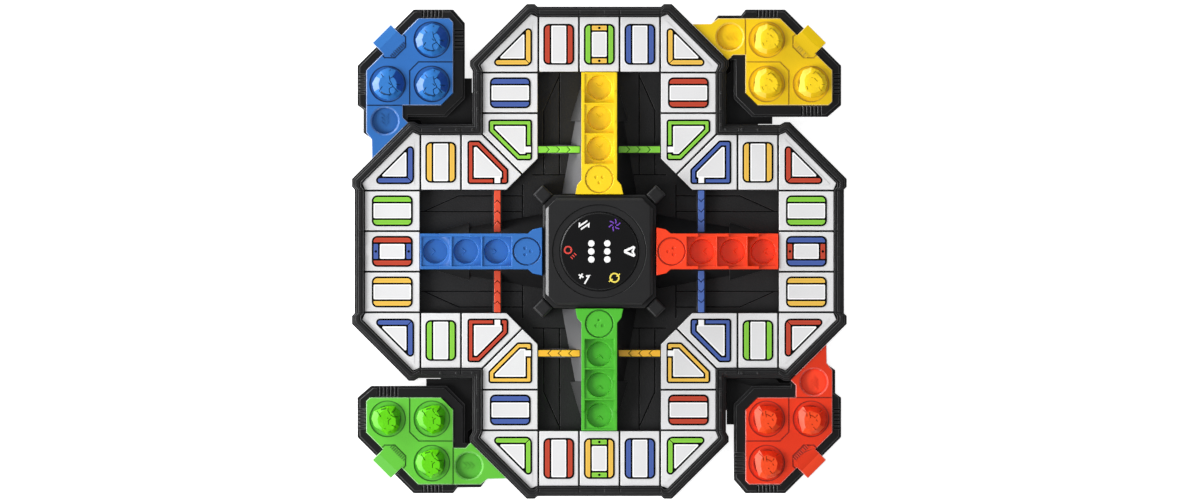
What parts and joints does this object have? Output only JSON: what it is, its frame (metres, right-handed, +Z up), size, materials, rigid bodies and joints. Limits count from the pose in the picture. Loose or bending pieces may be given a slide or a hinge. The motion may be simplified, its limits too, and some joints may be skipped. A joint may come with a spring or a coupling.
{
  "type": "electronic ludo board game",
  "caption": "Square ludo board with a tiled cross-shaped track, stepped colour ramps rising to a round dice button, and corner pods holding faceted tokens.",
  "frame": {"origin": "centre of the board on the table under its feet", "axes": "+X to the right and +Y to the top of the board as seen from above, +Z up from the table"},
  "size_m": [0.3464, 0.3464, 0.043],
  "materials": {
    "black_plastic": "satin moulded",
    "panel_black": "fine texture",
    "tile_grey": "fine speckle",
    "label_green": "printed film",
    "label_blue": "printed film",
    "label_yellow": "printed film",
    "label_red": "printed film",
    "plastic_green": "satin moulded",
    "plastic_blue": "satin moulded",
    "plastic_yellow": "satin moulded",
    "plastic_red": "satin moulded",
    "token_green": "satin moulded",
    "token_blue": "satin moulded",
    "token_yellow": "satin moulded",
    "token_red": "satin moulded",
    "screw_steel": "plain",
    "foot_rubber": "matte",
    "button_black": "polished",
    "lens_white": "translucent",
    "lens_symbol": "translucent",
    "circuit_green": "solder mask",
    "light_white": "clear cap",
    "switch_grey": "plain",
    "dome_silicone": "translucent",
    "speaker_grey": "plain",
    "box_black": "plain",
    "cell_jacket": "plain jacket",
    "contact_steel": "nickel plated",
    "knob_white": "plain"
  },
  "bodies": {
    "board": {"track_frame": "black_plastic", "well_panel": "panel_black", "base_cover": "black_plastic", "case_screws": "screw_steel", "rubber_feet": "foot_rubber", "tiles_straight": "tile_grey", "tiles_corner": "tile_grey", "tiles_elbow": "tile_grey", "tiles_home": "tile_grey", "labels_green": "label_green", "labels_blue": "label_blue", "labels_yellow": "label_yellow", "labels_red": "label_red", "ramp_bases": "black_plastic", "ramp_yellow": "plastic_yellow", "ramp_red": "plastic_red", "ramp_green": "plastic_green", "ramp_blue": "plastic_blue", "bridge_green": "plastic_green", "bridge_blue": "plastic_blue", "bridge_yellow": "plastic_yellow", "bridge_red": "plastic_red", "tower_housing": "black_plastic", "tower_posts": "black_plastic", "dice_bezel": "black_plastic", "circuit_board": "circuit_green", "lights": "light_white", "push_switch": "switch_grey", "return_dome": "dome_silicone", "speaker": "speaker_grey", "battery_box": "box_black", "battery_cells": "cell_jacket", "battery_contacts": "contact_steel", "power_switch": "switch_grey"},
    "dice": {"dice_button": "button_black", "pip_lenses": "lens_white", "symbol_lenses": "lens_symbol"},
    "pod_blue": {"pod_tray_blue": "black_plastic", "pod_plate_blue": "plastic_blue"},
    "token_blue_1": {"token_blue_1": "token_blue"},
    "token_blue_2": {"token_blue_2": "token_blue"},
    "token_blue_3": {"token_blue_3": "token_blue"},
    "pod_yellow": {"pod_tray_yellow": "black_plastic", "pod_plate_yellow": "plastic_yellow"},
    "token_yellow_1": {"token_yellow_1": "token_yellow"},
    "token_yellow_2": {"token_yellow_2": "token_yellow"},
    "token_yellow_3": {"token_yellow_3": "token_yellow"},
    "pod_red": {"pod_tray_red": "black_plastic", "pod_plate_red": "plastic_red"},
    "token_red_1": {"token_red_1": "token_red"},
    "token_red_2": {"token_red_2": "token_red"},
    "token_red_3": {"token_red_3": "token_red"},
    "pod_green": {"pod_tray_green": "black_plastic", "pod_plate_green": "plastic_green"},
    "token_green_1": {"token_green_1": "token_green"},
    "token_green_2": {"token_green_2": "token_green"},
    "token_green_3": {"token_green_3": "token_green"},
    "battery_door": {"battery_door": "black_plastic", "door_screw": "screw_steel"},
    "power_knob": {"power_knob": "knob_white"}
  },
  "joints": [
    {"name": "dice_press", "type": "slide", "parent": "board", "child": "dice", "axis": [0, 0, -1], "range_m": [0, 0.002], "stiffness_N_per_m": 1500, "springref_m": -0.0005, "deforming": ["return_dome"]},
    {"name": "pod_blue_slide", "type": "slide", "parent": "board", "child": "pod_blue", "axis": [-0.7071, 0.7071, 0], "range_m": [0, 0.03]},
    {"name": "token_blue_1_lift", "type": "slide", "parent": "pod_blue", "child": "token_blue_1", "axis": [0, 0, 1], "range_m": [0, 0.04]},
    {"name": "token_blue_2_lift", "type": "slide", "parent": "pod_blue", "child": "token_blue_2", "axis": [0, 0, 1], "range_m": [0, 0.04]},
    {"name": "token_blue_3_lift", "type": "slide", "parent": "pod_blue", "child": "token_blue_3", "axis": [0, 0, 1], "range_m": [0, 0.04]},
    {"name": "pod_yellow_slide", "type": "slide", "parent": "board", "child": "pod_yellow", "axis": [0.7071, 0.7071, 0], "range_m": [0, 0.03]},
    {"name": "token_yellow_1_lift", "type": "slide", "parent": "pod_yellow", "child": "token_yellow_1", "axis": [0, 0, 1], "range_m": [0, 0.04]},
    {"name": "token_yellow_2_lift", "type": "slide", "parent": "pod_yellow", "child": "token_yellow_2", "axis": [0, 0, 1], "range_m": [0, 0.04]},
    {"name": "token_yellow_3_lift", "type": "slide", "parent": "pod_yellow", "child": "token_yellow_3", "axis": [0, 0, 1], "range_m": [0, 0.04]},
    {"name": "pod_red_slide", "type": "slide", "parent": "board", "child": "pod_red", "axis": [0.7071, -0.7071, 0], "range_m": [0, 0.03]},
    {"name": "token_red_1_lift", "type": "slide", "parent": "pod_red", "child": "token_red_1", "axis": [0, 0, 1], "range_m": [0, 0.04]},
    {"name": "token_red_2_lift", "type": "slide", "parent": "pod_red", "child": "token_red_2", "axis": [0, 0, 1], "range_m": [0, 0.04]},
    {"name": "token_red_3_lift", "type": "slide", "parent": "pod_red", "child": "token_red_3", "axis": [0, 0, 1], "range_m": [0, 0.04]},
    {"name": "pod_green_slide", "type": "slide", "parent": "board", "child": "pod_green", "axis": [-0.7071, -0.7071, 0], "range_m": [0, 0.03]},
    {"name": "token_green_1_lift", "type": "slide", "parent": "pod_green", "child": "token_green_1", "axis": [0, 0, 1], "range_m": [0, 0.04]},
    {"name": "token_green_2_lift", "type": "slide", "parent": "pod_green", "child": "token_green_2", "axis": [0, 0, 1], "range_m": [0, 0.04]},
    {"name": "token_green_3_lift", "type": "slide", "parent": "pod_green", "child": "token_green_3", "axis": [0, 0, 1], "range_m": [0, 0.04]},
    {"name": "battery_door_drop", "type": "slide", "parent": "board", "child": "battery_door", "axis": [0, 0, -1], "range_m": [0, 0.03]},
    {"name": "power_slide", "type": "slide", "parent": "board", "child": "power_knob", "axis": [1, 0, 0], "range_m": [0, 0.0034]}
  ]
}
